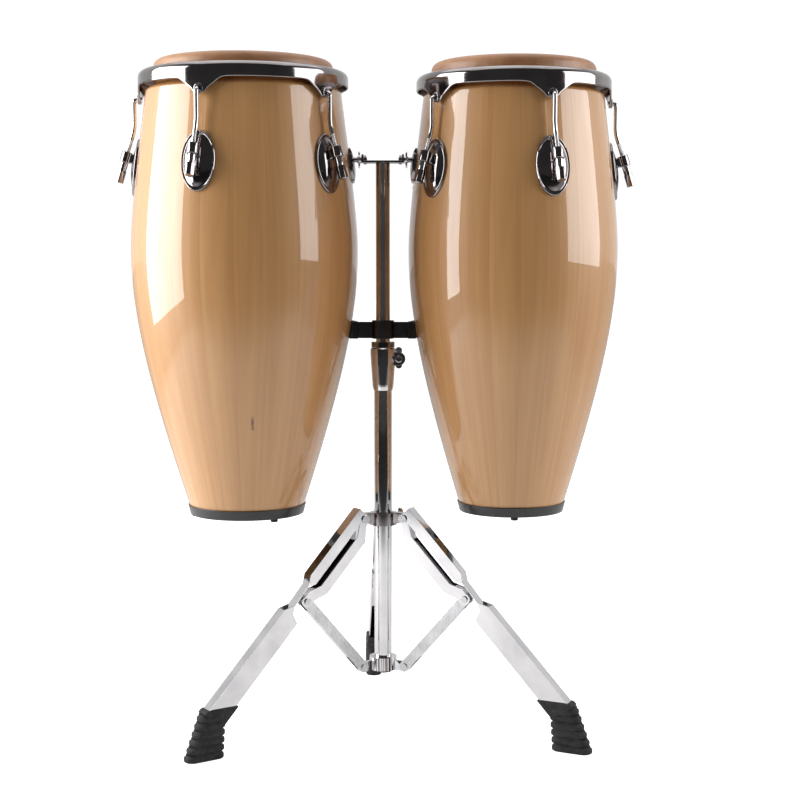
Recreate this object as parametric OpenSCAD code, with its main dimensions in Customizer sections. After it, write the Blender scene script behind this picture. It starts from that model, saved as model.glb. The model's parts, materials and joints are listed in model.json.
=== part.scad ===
// Two conga drums on a height-adjustable double stand with a folding tripod.
// +Z is up, the floor is Z = 0, the players' side faces -Y.

/* [Drum placing] */
// Distance from the pole to the left drum's axis
left_offset = 217.4; // [216:0.2:219]
// Distance from the pole to the right drum's axis
right_offset = 204.7; // [204:0.1:206]
// Height of the left drum's lower end above the floor
left_base = 347; // [340:1:360]
// Height of the right drum's lower end above the floor
right_base = 351; // [345:0.2:365]

/* [Left drum, 11 inch head] */
// Overall height of the left drum
left_height = 710.5; // [705:0.5:720]
// Radius of the left shell at its belly
left_belly = 178; // [176:0.5:179]
// Radius of the left base ring at the bottom
left_foot = 90; // [86:0.5:94]
// Radius of the left head where it enters the rim
left_head = 140.8; // [138:0.2:142]
// Drop from the left head down to the rim's crown
left_drop = 17.5; // [15:0.5:24]

/* [Right drum, 10 inch head] */
// Overall height of the right drum
right_height = 703.5; // [698:0.5:710]
// Radius of the right shell at its belly
right_belly = 164.5; // [162:0.5:166]
// Radius of the right base ring at the bottom
right_foot = 82.5; // [79:0.5:86]
// Radius of the right head where it enters the rim
right_head = 129.4; // [127:0.2:131]
// Drop from the right head down to the rim's crown
right_drop = 20.5; // [18:0.5:26]

/* [Shell and skin] */
// Thickness of the wooden staves
stave = 11; // [9:0.5:12]
// Thickness of the rawhide skin
skin = 2.4; // [2:0.1:3]

/* [Rim and tuning lugs] */
// Number of tuning lugs on each drum
lugs = 5; // [5:1:5]
// Thickness of the rim's steel
rim_t = 3; // [2.5:0.1:3.2]
// Width of a side plate
plate_w = 54; // [48:1:56]
// Height of a side plate
plate_h = 90; // [84:1:94]
// Thickness of a side plate at its middle
plate_t = 10; // [8:0.5:11]
// Diameter of the tension hooks' rod
rod_d = 7; // [6:0.5:7]
// Lean of the hooks' lower ends away from the shell, degrees
rod_lean = 17.5; // [15:0.5:19]

/* [Stand tubes] */
// Diameter of the lower tube
lower_d = 28; // [27:0.5:30]
// Diameter of the upper tube
upper_d = 22.2; // [21:0.1:23]
// Wall thickness of both tubes
tube_wall = 1.6; // [1.2:0.1:2]
// Height of the studs that carry the drums
stud_z = 905.5; // [904:0.5:907]
// Height of the middle of the bow
bow_z = 638.5; // [634:0.5:650]
// Height of the bow's bar
bow_h = 27; // [24:1:27]

/* [Tripod] */
// Length of the braces, and of the legs above them
brace_len = 160; // [156:0.5:164]
// Height of the pivots on the fixed collar
low_pivot_z = 100; // [98:1:104]
// Distance of the collars' pivots from the pole's axis
pivot_r = 40; // [39:0.5:42]
// Angle between the legs' upper pivot line and the pole, degrees
spread = 41.4; // [40:0.2:43]
// Turn of the tripod about the pole, degrees
tripod_turn = 3.9; // [0:0.1:8]
// Width of a leg channel
leg_w = 20; // [18:1:22]

/* [Hidden] */
$fn = 64;

// The origin is under the middle of the whole object, so the pole stands beside it
pole_x = 12.05;
pole_y = -75;

// Clearances: running in a bore, and between neighbours that move
run = 0.06;
free = 0.4;

// One drum: side of the pole, axis, base, height, belly, foot, head, drop to the rim
LEFT = [-1, -left_offset, left_base, left_height, left_belly, left_foot, left_head, left_drop];
RIGHT = [1, right_offset, right_base, right_height, right_belly, right_foot, right_head, right_drop];
function side(d) = d[0];
function axis_x(d) = d[1];
function base_z(d) = d[2];
function tall(d) = d[3];
function belly(d) = d[4];
function foot(d) = d[5];
function head(d) = d[6];
function drop(d) = d[7];

// Tubes
lower_r = lower_d / 2;
upper_r = upper_d / 2;
tube_bottom = 92;
tube_top = 556;
mast_bottom = 350;
tbar_t = 3.5;
tbar_z = stud_z - 5;

// Height clamp and memory lock
clamp_bottom = 543;
clamp_top = 611;
clamp_r = 20;
bushing_r = upper_r + 1.7;
ear_x = 25;
ear_z = 593;
lock_top = 620;

// Crown of the rim: a half-round channel about this point of the section
crown_r = 10.6;
function crown_x(d) = head(d) + 12.2;
function crown_h(d) = tall(d) - drop(d) - crown_r;
band_drop = 13.4;
ear_drop = 25;
ear_r = 14;
boss_r = 7.4;
hook_drop = 30.4;
hook_bend = 6;
rod_r = rod_d / 2;
rod_out = 19;
lean_drop = 77.2;
lug_from = 36;
lug_to = 53;
nut_to = 86;
rod_end = 80;
plate_drop = 136.2;
hoop_r = 5;

// Tripod
azimuths = [90 + tripod_turn, 210 + tripod_turn, 330 + tripod_turn];
leg_tilt = 46.4;
high_pivot_z = low_pivot_z + 2 * brace_len * cos(spread);
collar_r = 22;
pin_r = 4;
knee_pin_r = 3.5;
strip_w = leg_w - 3;
brace_w = strip_w - 4.6;
sheet = 1.5;
leg_end = 386;
foot_tall = 70;

// ---------- curves ----------

function bezier(p, t) =
    pow(1 - t, 3) * p[0] + 3 * pow(1 - t, 2) * t * p[1] + 3 * (1 - t) * t * t * p[2] + pow(t, 3) * p[3];
function curve(p, n, first = 0) = [for (i = [first:n]) bezier(p, i / n)];
function reversed(list) = [for (i = [len(list) - 1:-1:0]) list[i]];

// Outline of the barrel, [radius, height above the drum's base]
function shoulder(d) = 0.865 * belly(d);
function barrel(d) = concat(
    curve([
        [foot(d) + 2.2, 16],
        [foot(d) + 3 + 0.727 * (belly(d) - foot(d) - 3), 0.30 * tall(d)],
        [belly(d), 0.448 * tall(d)],
        [belly(d), 0.587 * tall(d)]
    ], 12),
    curve([
        [belly(d), 0.587 * tall(d)],
        [belly(d), 0.66 * tall(d)],
        [shoulder(d) + 0.0634 * belly(d), 0.79 * tall(d)],
        [shoulder(d), 0.915 * tall(d)]
    ], 10, 1)
);
function shell_r(d, h) = lookup(h, [for (p = barrel(d)) [p[1], p[0]]]);

// Neck under the rim and the rounded bearing edge on which the skin lies
function neck(d) = concat(
    curve([
        [shoulder(d) - 0.9, crown_h(d) - 22],
        [shoulder(d) - 1.6, crown_h(d) - 16],
        [head(d) - 0.5, crown_h(d) - 14],
        [head(d) - 2.6, crown_h(d) - 8]
    ], 6),
    curve([
        [head(d) - 3.4, tall(d) - 12],
        [head(d) - 3.6, tall(d) - 6],
        [head(d) - 7, tall(d) - skin - 0.2],
        [head(d) - 11.5, tall(d) - skin - 0.2]
    ], 5)
);

// Bolts that hold the side plates and the mount plate: [azimuth, height]
bolt_r = 3;
bolt_reach = 2.5;
function lug_h(d) = crown_h(d) - plate_drop;
function mount_h(d) = stud_z - base_z(d) - 9;
function bolt_spots(d) = concat(
    [for (i = [0:lugs - 1], s = [-1, 1]) [lug_azimuth(d, i), lug_h(d) + 28 * s]],
    [for (s = [-1, 1]) [mount_azimuth(d), mount_h(d) + 18 * s]]
);

// Puts its children at a drum's axis, with heights counted from the drum's base
module at_drum(d) {
    translate([axis_x(d), 0, base_z(d)])
        children();
}

// Turns its children from the front of the drum to an azimuth
module facing(azimuth) {
    rotate([0, 0, azimuth])
        children();
}

function lug_azimuth(d, i) = -side(d) * (360 / lugs * i - 90);
function mount_azimuth(d) = -side(d) * 90;

// A cylinder that lies along -Y, from one distance to another
module spoke(r, from, to) {
    translate([0, -from, 0])
        rotate([90, 0, 0])
            cylinder(r = r, h = to - from);
}

// ---------- drum shells and skins ----------

module drum_shell(d) {
    color("burlywood")
        at_drum(d)
            difference() {
                rotate_extrude($fn = 128)
                    polygon(concat(
                        [[foot(d) - stave, 1.8], [foot(d) - 1.6, 1.8], [foot(d) + 2, 15.5]],
                        barrel(d),
                        neck(d),
                        [[head(d) - 14, tall(d) - 3.4]],
                        [for (drop = [6, 70]) [head(d) - 16, tall(d) - drop]],
                        [for (p = reversed(barrel(d))) if (p[1] < 0.85 * tall(d)) [p[0] - stave, p[1]]]
                    ));
                for (b = bolt_spots(d))
                    facing(b[0])
                        translate([0, 0, b[1]])
                            spoke(bolt_r + 0.2, 60, belly(d) + 10);
            }
}

module drum_skin(d) {
    x = crown_x(d);
    h = crown_h(d);
    color("peru")
        at_drum(d)
            rotate_extrude($fn = 128)
                difference() {
                    union() {
                        polygon(concat(
                            [[0, tall(d) - skin], [head(d) - 11.5, tall(d) - skin]],
                            reversed(curve([
                                [head(d) - 3.1, tall(d) - 12],
                                [head(d) - 3.3, tall(d) - 5.8],
                                [head(d) - 6.8, tall(d) - skin],
                                [head(d) - 11.5, tall(d) - skin]
                            ], 5)),
                            [[head(d) - 2.2, h - 5], [x - 4.2, h - 5.6]],
                            [[x - 5.5, h - 4.3], [head(d), h - 1.5]],
                            curve([
                                [head(d) - 0.6, tall(d) - 14],
                                [head(d) - 0.8, tall(d) - 5],
                                [head(d) - 6, tall(d)],
                                [head(d) - 14, tall(d)]
                            ], 8),
                            [[0, tall(d)]]
                        ));
                        translate([x, h])
                            circle(r = hoop_r + 2);
                    }
                    translate([x, h])
                        circle(r = hoop_r);
                }
}

module flesh_hoop(d) {
    color("silver")
        at_drum(d)
            rotate_extrude($fn = 128)
                translate([crown_x(d), crown_h(d)])
                    circle(r = hoop_r - 0.1);
}

// ---------- rims, side plates and tension hooks ----------

module rim(d) {
    x = crown_x(d);
    h = crown_h(d);
    color("dimgray")
        at_drum(d)
            difference() {
                union() {
                    rotate_extrude($fn = 128)
                        translate([x, h])
                            difference() {
                                circle(r = crown_r);
                                circle(r = crown_r - rim_t);
                                translate([-20, -40])
                                    square([40, 40]);
                            }
                    rim_skirt(d);
                    for (i = [0:lugs - 1])
                        facing(lug_azimuth(d, i))
                            translate([0, 0, h - hook_drop])
                                spoke(boss_r, x + crown_r - 2.5, x + crown_r + 2.4);
                }
                for (i = [0:lugs - 1])
                    facing(lug_azimuth(d, i))
                        translate([0, 0, h - hook_drop])
                            spoke(rod_r + 1.1, x, x + 30);
            }
}

// The rim's skirt: a band with an ear at each lug, cut from one sleeve
module rim_skirt(d) {
    x = crown_x(d);
    h = crown_h(d);
    intersection() {
        translate([0, 0, h - 60])
            difference() {
                cylinder(r = x + crown_r, h = 60, $fn = 128);
                translate([0, 0, -1])
                    cylinder(r = x + crown_r - rim_t, h = 62, $fn = 128);
            }
        union() {
            translate([0, 0, h - band_drop])
                cylinder(r = x + 40, h = band_drop + 1);
            for (i = [0:lugs - 1])
                facing(lug_azimuth(d, i))
                    translate([0, -x + 20, h - band_drop])
                        rotate([90, 0, 0])
                            linear_extrude(50) {
                                polygon([[-40, 1], [-34, -1.5], [-10, -19], [10, -19], [34, -1.5], [40, 1]]);
                                translate([0, ear_r - ear_drop])
                                    circle(r = ear_r);
                            }
        }
    }
}

// Frame of a lug's slanted rod: origin at the bend, +Z down the rod
module along_rod(d, i) {
    at_drum(d)
        facing(lug_azimuth(d, i))
            translate([0, -crown_x(d) - rod_out, crown_h(d) - lean_drop])
                rotate([180 - rod_lean, 0, 0])
                    children();
}

// A domed oval standing on the XY plane
module domed_oval(w, h, t) {
    edge = 2.4;
    rise = t - edge;
    across = (w * w / 4 + rise * rise) / (2 * rise);
    along = (h * h / 4 + rise * rise) / (2 * rise);
    intersection() {
        translate([0, 0, -6])
            linear_extrude(t + 7)
                polygon([for (i = [0:47]) [w / 2 * cos(i * 7.5), h / 2 * sin(i * 7.5)]]);
        translate([0, h, t - across])
            rotate([90, 0, 0])
                cylinder(r = across, h = 2 * h, $fn = 128);
        translate([-w, 0, t - along])
            rotate([0, 90, 0])
                cylinder(r = along, h = 2 * w, $fn = 128);
    }
}

// A domed plate laid on the shell at a height, its back cut to the shell's cone
module seated_plate(d, h, w, tall_w, t) {
    low = h - tall_w / 2 - 4;
    high = h + tall_w / 2 + 4;
    sag = shell_r(d, h) - (shell_r(d, low) + shell_r(d, high)) / 2;
    lean = atan((shell_r(d, high) - shell_r(d, low)) / (high - low));
    difference() {
        translate([0, -shell_r(d, h), h])
            rotate([90 + lean, 0, 0])
                domed_oval(w, tall_w, t);
        translate([0, 0, low - 10])
            cylinder(
                r1 = shell_r(d, low) + sag + 0.2 - 10 * tan(lean),
                r2 = shell_r(d, high) + sag + 0.2 + 10 * tan(lean),
                h = high - low + 20, $fn = 128
            );
    }
}

module side_plates(d) {
    color("slategray")
        for (i = [0:lugs - 1])
            difference() {
                union() {
                    at_drum(d)
                        facing(lug_azimuth(d, i))
                            seated_plate(d, lug_h(d), plate_w, plate_h, plate_t);
                    along_rod(d, i)
                        translate([0, 0, lug_from])
                            cylinder(r = 8.5, h = lug_to - lug_from);
                    along_rod(d, i)
                        translate([-6, -16, lug_from + 1])
                            cube([12, 16, lug_to - lug_from - 2]);
                }
                along_rod(d, i)
                    translate([0, 0, lug_from - 5])
                        cylinder(r = rod_r + 0.4, h = 40);
                bolt_holes(d);
            }
}

module hooks(d) {
    x = crown_x(d);
    h = crown_h(d);
    color("lightgray") {
        for (i = [0:lugs - 1]) {
            at_drum(d)
                facing(lug_azimuth(d, i)) {
                    translate([0, 0, h - hook_drop])
                        spoke(rod_r, x + 5.5, x + rod_out - hook_bend);
                    translate([0, -x - rod_out + hook_bend, h - hook_drop - hook_bend])
                        rotate([0, -90, 0])
                            rotate([0, 0, -90])
                                rotate_extrude(angle = 90)
                                    translate([hook_bend, 0])
                                        circle(r = rod_r);
                    translate([0, -x - rod_out, h - lean_drop])
                        cylinder(r = rod_r, h = lean_drop - hook_drop - hook_bend);
                    translate([0, -x - rod_out, h - lean_drop])
                        sphere(r = rod_r + 0.15);
                }
            along_rod(d, i)
                cylinder(r = rod_r, h = rod_end);
        }
    }
}

// Blind tuning nut: a round sleeve under the lug and a hexagon
module tuning_nut(d, i) {
    sleeve_h = 14;
    color("dimgray")
        along_rod(d, i)
            translate([0, 0, lug_to + free])
                difference() {
                    union() {
                        cylinder(r = 6, h = sleeve_h);
                        translate([0, 0, sleeve_h - 1])
                            cylinder(r = 7.5, h = nut_to - lug_to - free - sleeve_h + 1, $fn = 6);
                    }
                    translate([0, 0, -1])
                        cylinder(r = rod_r + run, h = rod_end - lug_to + 2);
                }
}

// Bolts with their heads inside the drum
module plate_bolts(d) {
    color("gray")
        at_drum(d)
            for (b = bolt_spots(d))
                facing(b[0])
                    translate([0, 0, b[1]]) {
                        outside = shell_r(d, b[1]);
                        spoke(bolt_r, outside - stave - 2, outside + bolt_reach);
                        spoke(6, outside - stave - 5, outside - stave - 1);
                    }
}

// The blind holes that the bolts screw into
module bolt_holes(d) {
    at_drum(d)
        for (b = bolt_spots(d))
            facing(b[0])
                translate([0, 0, b[1]])
                    spoke(bolt_r, 60, shell_r(d, b[1]) + bolt_reach);
}

// ---------- base rings and the mount plates ----------

module base_ring(d) {
    color("black")
        at_drum(d)
            rotate_extrude($fn = 128)
                polygon([
                    [foot(d) - 15, 0], [foot(d), 0], [foot(d) + 3.8, 15.5],
                    [foot(d) + 2, 15.5], [foot(d) - 1.6, 1.8], [foot(d) - 15, 1.8]
                ]);
}

module ring_feet(d) {
    first = side(d) < 0 ? 36 : 0;
    color("black")
        at_drum(d)
            for (i = [0:2])
                facing(first + 120 * i)
                    translate([0, -foot(d) + 8, -5])
                        cylinder(r = 6, h = 5);
}

// Plate on the shell with the stud that hangs in the stand's T-bar
module mount_plate(d) {
    h = mount_h(d);
    out = abs(axis_x(d));
    color("slategray")
        difference() {
            at_drum(d)
                facing(mount_azimuth(d)) {
                    seated_plate(d, h, 42, 56, 7.5);
                    translate([0, 0, stud_z - base_z(d)]) {
                        spoke(4, shell_r(d, h) + 2, out - 24.6);
                        spoke(7.5, out - 29.6, out - 25.6);
                    }
                }
            bolt_holes(d);
        }
}

// Wings that lie across a screw's axis, the screw running along +Z
module wings(span, r, t) {
    linear_extrude(t) {
        for (s = [-1, 1])
            translate([s * span, 0])
                circle(r = r);
        translate([-span, -r / 2])
            square([2 * span, r]);
    }
}

module drum_wing_nut(d) {
    color("silver")
        translate([side(d) * (33.2 + free), 0, stud_z])
            rotate([0, side(d) * 90, 0])
                difference() {
                    union() {
                        cylinder(r = 6.5, h = 6.6);
                        translate([0, 0, 2])
                            rotate([0, 0, 12])
                                wings(9, 4.5, 2.8);
                    }
                    translate([0, 0, -1])
                        cylinder(r = 4 + run, h = 10);
                }
}

// ---------- pole ----------

module tube(r, from, to) {
    translate([0, 0, from])
        difference() {
            cylinder(r = r, h = to - from);
            translate([0, 0, -1])
                cylinder(r = r - tube_wall, h = to - from + 2);
        }
}

module lower_tube() {
    color("gainsboro")
        tube(lower_r, tube_bottom, tube_top);
}

module tube_plug() {
    color("black") {
        translate([0, 0, tube_bottom - 4])
            cylinder(r = lower_r, h = 4);
        translate([0, 0, tube_bottom - 1])
            cylinder(r = lower_r - tube_wall, h = 16);
    }
}

module upper_tube() {
    color("gainsboro")
        tube(upper_r, mast_bottom, tbar_z);
}

module height_clamp() {
    color("silver")
        difference() {
            union() {
                rotate_extrude()
                    polygon([
                        [0, clamp_bottom], [lower_r + 1.4, clamp_bottom], [lower_r + 2.6, clamp_bottom + 6],
                        [clamp_r - 1, clamp_bottom + 40], [clamp_r, clamp_bottom + 56],
                        [clamp_r, clamp_top - 2], [clamp_r - 2, clamp_top], [0, clamp_top]
                    ]);
                for (y = [-9, 1.5])
                    translate([0, y, 0]) {
                        translate([ear_x, 0, ear_z])
                            rotate([-90, 0, 0])
                                cylinder(r = 10.5, h = 7.5);
                        translate([12, 0, ear_z - 10.5])
                            cube([ear_x - 12, 7.5, 21]);
                    }
            }
            translate([0, 0, clamp_bottom - 1])
                cylinder(r = lower_r, h = tube_top - clamp_bottom + 1);
            translate([0, 0, tube_top - 1])
                cylinder(r = bushing_r, h = clamp_top - tube_top - 1);
            translate([0, 0, clamp_top - 5])
                cylinder(r = upper_r + 0.6, h = 10);
            translate([upper_r, -1.5, ear_z - 24])
                cube([40, 3, 60]);
            translate([ear_x, -20, ear_z])
                rotate([-90, 0, 0])
                    cylinder(r = 3 + run, h = 40);
        }
}

module clamp_bushing() {
    color("black")
        translate([0, 0, tube_top])
            difference() {
                cylinder(r = bushing_r, h = clamp_top - tube_top - 2);
                translate([0, 0, -1])
                    cylinder(r = upper_r + run, h = 80);
            }
}

// A screw with a round head at the front and wings behind, along Y
module height_wing_screw() {
    color("silver")
        translate([ear_x, 0, ear_z])
            rotate([-90, 0, 0]) {
                translate([0, 0, -14])
                    cylinder(r = 3, h = 38);
                translate([0, 0, -13])
                    cylinder(r = 5.5, h = 3.6);
                translate([0, 0, 9 + free])
                    cylinder(r = 6.5, h = clamp_r - 4);
                translate([0, 0, clamp_r + 0.8])
                    wings(12, 5.5, 3.4);
            }
}

module memory_lock() {
    color("dimgray")
        difference() {
            union() {
                translate([0, 0, clamp_top + free])
                    cylinder(r = 18.5, h = lock_top - clamp_top - free);
                translate([-7, 10, clamp_top + free])
                    cube([14, 16, lock_top - clamp_top - free]);
                translate([-14, 21.5, (clamp_top + free + lock_top) / 2])
                    rotate([0, 90, 0])
                        cylinder(r = 3.8, h = 28);
            }
            translate([0, 0, clamp_top - 1])
                cylinder(r = upper_r + run, h = 20);
            translate([-1, 8, clamp_top - 1])
                cube([2, 11, 20]);
        }
}

// Flat bar on top of the upper tube; its ends turn up and carry the studs
module t_bar() {
    color("silver")
        difference() {
            union() {
                translate([-33.2, -15, tbar_z])
                    cube([66.4, 30, tbar_t]);
                for (x = [-33.2, 30])
                    translate([x, -15, tbar_z])
                        cube([3.2, 30, 13]);
            }
            for (s = [-1, 1]) {
                translate([s * 31.6 - 5, -4.3, stud_z])
                    cube([10, 8.6, 20]);
                translate([s * 31.6 - 5, 0, stud_z])
                    rotate([0, 90, 0])
                        cylinder(r = 4.3, h = 10);
                translate([s * 27 - 3, -9, tbar_z - 1])
                    cube([6, 18, 10]);
            }
        }
}

// ---------- bow ----------

bow_low = bow_z - bow_h / 2;
bow_high = bow_z + bow_h / 2;
bow_t = 4;
hub_r = 17.5;
pad_t = 5;
arc = 50;
function bow_r(d) = shell_r(d, bow_high - base_z(d)) + pad_t + 0.8;

// Turns its children onto the part of a drum's side that faces the pole
module on_pole_side(d) {
    translate([axis_x(d), 0, 0])
        mirror([side(d) > 0 ? 1 : 0, 0, 0])
            children();
}

module bow_bar() {
    color("black")
        difference() {
            union() {
                translate([0, 0, bow_low])
                    cylinder(r = hub_r, h = bow_h + 2);
                for (d = [LEFT, RIGHT])
                    on_pole_side(d) {
                        translate([bow_r(d) + 1, -bow_t / 2, bow_low + 0.5])
                            cube([abs(axis_x(d)) - bow_r(d) - upper_r - 3, bow_t, bow_h - 1]);
                        translate([0, 0, bow_low])
                            rotate([0, 0, -4])
                                rotate_extrude(angle = arc + 4, $fn = 128)
                                    translate([bow_r(d), 0])
                                        square([bow_t, bow_h]);
                    }
            }
            translate([0, 0, lock_top - 5])
                cylinder(r = upper_r, h = 60);
            translate([0, 0, bow_z])
                spoke(3, -40, -5);
        }
}

module bow_pads() {
    color("black")
        for (d = [LEFT, RIGHT])
            on_pole_side(d)
                rotate([0, 0, -3])
                    rotate_extrude(angle = arc + 2, $fn = 128)
                        polygon([
                            [shell_r(d, bow_low - base_z(d)) + 0.6, bow_low],
                            [bow_r(d), bow_low],
                            [bow_r(d), bow_high],
                            [shell_r(d, bow_high - base_z(d)) + 0.6, bow_high]
                        ]);
}

module bow_bolt() {
    color("silver")
        translate([0, 0, bow_z]) {
            spoke(3, -22, -upper_r - 0.3);
            rotate([0, 0, 180])
                translate([0, -hub_r, 0])
                    rotate([90, 0, 0])
                        cylinder(r = 6, h = 5, $fn = 6);
        }
}

// ---------- tripod ----------

// Flat ear that reaches from a collar to a pivot, in the plane of a leg
module collar_ear(z, r, half) {
    translate([pivot_r, half, z])
        rotate([90, 0, 0])
            cylinder(r = r, h = 2 * half);
    translate([collar_r - 6, -half, z - r])
        cube([pivot_r - collar_r + 6, 2 * half, 2 * r]);
}

module lower_collar() {
    color("silver")
        difference() {
            union() {
                translate([0, 0, tube_bottom])
                    cylinder(r = collar_r, h = 21);
                for (a = azimuths)
                    facing(a)
                        collar_ear(low_pivot_z, 8, 3.4);
            }
            translate([0, 0, tube_bottom - 5])
                cylinder(r = lower_r, h = 40);
        }
}

screw_azimuth = 30 + tripod_turn;
screw_z = high_pivot_z - 3;

module upper_collar() {
    color("dimgray")
        difference() {
            union() {
                translate([0, 0, high_pivot_z - 13])
                    cylinder(r = collar_r, h = 20);
                for (a = azimuths)
                    facing(a)
                        collar_ear(high_pivot_z, 8.5, 6.4);
                facing(screw_azimuth + 90)
                    translate([0, 0, screw_z])
                        spoke(7.5, 18, 29);
            }
            translate([0, 0, high_pivot_z - 20])
                cylinder(r = lower_r + run, h = 40);
            for (a = azimuths)
                facing(a)
                    translate([pivot_r, 20, high_pivot_z])
                        rotate([90, 0, 0])
                            cylinder(r = pin_r, h = 40);
            facing(screw_azimuth + 90)
                translate([0, 0, screw_z])
                    spoke(3.5 + run, 5, 40);
        }
}

module collar_rivets() {
    color("gray")
        for (a = azimuths)
            facing(a)
                translate([pivot_r, 0, high_pivot_z])
                    rotate([90, 0, 0]) {
                        cylinder(r = pin_r, h = leg_w + 4.6, center = true);
                        for (s = [-1, 1])
                            translate([0, 0, s * (leg_w / 2 + free + 1.1)])
                                cylinder(r = 6.5, h = 2.2, center = true);
                    }
}

module tripod_wing_screw() {
    color("silver")
        facing(screw_azimuth + 90)
            translate([0, 0, screw_z]) {
                spoke(3.5, lower_r + free, 44);
                spoke(6, 29 + free, 37);
                translate([0, -37, 0])
                    rotate([90, 40, 0])
                        wings(11, 5.5, 3.4);
            }
}

// Frame of a leg: origin at its upper pivot, +X down the leg, +Z out of the tripod
module on_leg(a) {
    facing(a)
        translate([pivot_r, 0, high_pivot_z])
            rotate([0, leg_tilt, 0])
                children();
}

// A plate cut to an outline in the leg's own plane, between two distances from it
module cheek(near, far) {
    for (s = [0, 1])
        mirror([0, s, 0])
            translate([0, far, 0])
                rotate([90, 0, 0])
                    linear_extrude(far - near)
                        children();
}

leg_out = 19;
leg_mid = 2;
leg_in = -14;
strip_in = -26;
tongue = 2;
knee_x = brace_len * sin(leg_tilt + spread);
knee_z = -brace_len * cos(leg_tilt + spread);

// Long channel of a leg: narrow above the knee, a thin tongue at it, deep below
module leg_channel(a) {
    wide = leg_w / 2;
    color("gainsboro")
        on_leg(a)
            difference() {
                union() {
                    cheek(wide - sheet, wide) {
                        polygon([[-6, leg_mid - 2], [-6, leg_out], [126, leg_out], [140, leg_mid + 8],
                            [132, leg_mid], [8, leg_mid]]);
                        circle(r = 8.5);
                        polygon([[178, leg_mid + 7], [194, leg_out], [leg_end, leg_out],
                            [leg_end, leg_in], [196, leg_in], [190, leg_mid]]);
                    }
                    translate([-6, -wide, leg_out - sheet])
                        cube([132, leg_w, sheet]);
                    translate([194, -wide, leg_out - sheet])
                        cube([leg_end - 194, leg_w, sheet]);
                    translate([0, wide - 0.5, 0])
                        rotate([90, 0, 0])
                            linear_extrude(leg_w - 1)
                                polygon([
                                    [122, leg_out], [126, leg_out], [140, leg_mid + 9], [178, leg_mid + 7.5],
                                    [204, leg_mid + 6], [204, leg_mid + 4], [178, leg_mid + 5.5],
                                    [139, leg_mid + 7], [125, leg_out - tongue], [122, leg_out - tongue]
                                ]);
                }
                rotate([90, 0, 0])
                    cylinder(r = pin_r + run, h = 60, center = true);
            }
}

// Short strip that braces the leg from its upper pivot to the knee
module leg_strip(a) {
    color("gainsboro")
        on_leg(a)
            difference() {
                union() {
                    cheek(strip_w / 2 - sheet, strip_w / 2) {
                        circle(r = 8.5);
                        polygon([[-4, -7.5], [7.5, 4], [30, -9], [126, -9], [146, knee_z + 8.5],
                            [162, knee_z + 8.5], [162, knee_z - 9], [150, knee_z - 9],
                            [128, strip_in], [26, strip_in], [8, -11]]);
                        translate([knee_x, knee_z])
                            circle(r = 9);
                    }
                    translate([28, -strip_w / 2, strip_in])
                        cube([100, strip_w, sheet]);
                }
                rotate([90, 0, 0])
                    cylinder(r = pin_r + run, h = 60, center = true);
                translate([knee_x, 0, knee_z])
                    rotate([90, 0, 0])
                        cylinder(r = knee_pin_r + run, h = 60, center = true);
            }
}

// Frame of a brace: origin at the knee, +X down the brace
module on_brace(a) {
    facing(a)
        translate([pivot_r + brace_len * sin(spread), 0, high_pivot_z - brace_len * cos(spread)])
            rotate([0, 90 + spread, 0])
                children();
}

module brace(a) {
    half = brace_w / 2;
    fork = 34;
    color("gainsboro")
        on_brace(a) {
            difference() {
                union() {
                    cheek(half - sheet, half) {
                        circle(r = 8.2);
                        translate([0, -8.2])
                            square([brace_len, 16.4]);
                        translate([brace_len, 0])
                            circle(r = 8.2);
                    }
                    translate([14, -half, 8.2 - sheet])
                        cube([brace_len - fork - 14, brace_w, sheet]);
                    for (s = [-1, 1])
                        translate([brace_len, s * (half + 0.9), 0])
                            rotate([90, 0, 0])
                                cylinder(r = 5.5, h = 1.8, center = true);
                }
                rotate([90, 0, 0])
                    cylinder(r = knee_pin_r + run / 2, h = 60, center = true);
            }
            rotate([90, 0, 0]) {
                cylinder(r = knee_pin_r, h = strip_w + 5.2, center = true);
                for (s = [-1, 1])
                    translate([0, 0, s * (strip_w / 2 + free + 1.1)])
                        cylinder(r = 5.5, h = 2.2, center = true);
            }
        }
}

// Ribbed rubber boot, a stack of rounded slabs that lean in towards the pole
module rubber_foot(a) {
    ribs = 6;
    rib_h = foot_tall / ribs;
    groove = 3.4;
    color("black")
        difference() {
            union() {
                facing(a)
                    for (i = [0:ribs - 1]) {
                        long = 32 - 9 * i / (ribs - 1);
                        mid = 323 - 13 * i / (ribs - 1);
                        translate([mid, 0, i * rib_h])
                            slab(long, 14, rib_h - groove);
                        translate([mid - 1.5, 0, i * rib_h + rib_h - groove - 1])
                            slab(long - 4, 11.5, groove + 2);
                    }
                intersection() {
                    on_leg(a)
                        translate([leg_end - 60, -leg_w / 2 - 3, leg_in - 3])
                            cube([66, leg_w + 6, leg_out - leg_in + 6]);
                    translate([-400, -400, foot_tall - 20])
                        cube([800, 800, 26]);
                }
            }
            on_leg(a)
                translate([leg_end - 60, -leg_w / 2, leg_in])
                    cube([60, leg_w, leg_out - leg_in]);
        }
}

module slab(long, wide, h) {
    linear_extrude(h) {
        square([2 * (long - wide), 2 * wide], center = true);
        for (s = [-1, 1])
            translate([s * (long - wide), 0])
                circle(r = wide);
    }
}

// ---------- assembly ----------

module place() {
    translate([pole_x, pole_y, 0])
        children();
}

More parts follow.
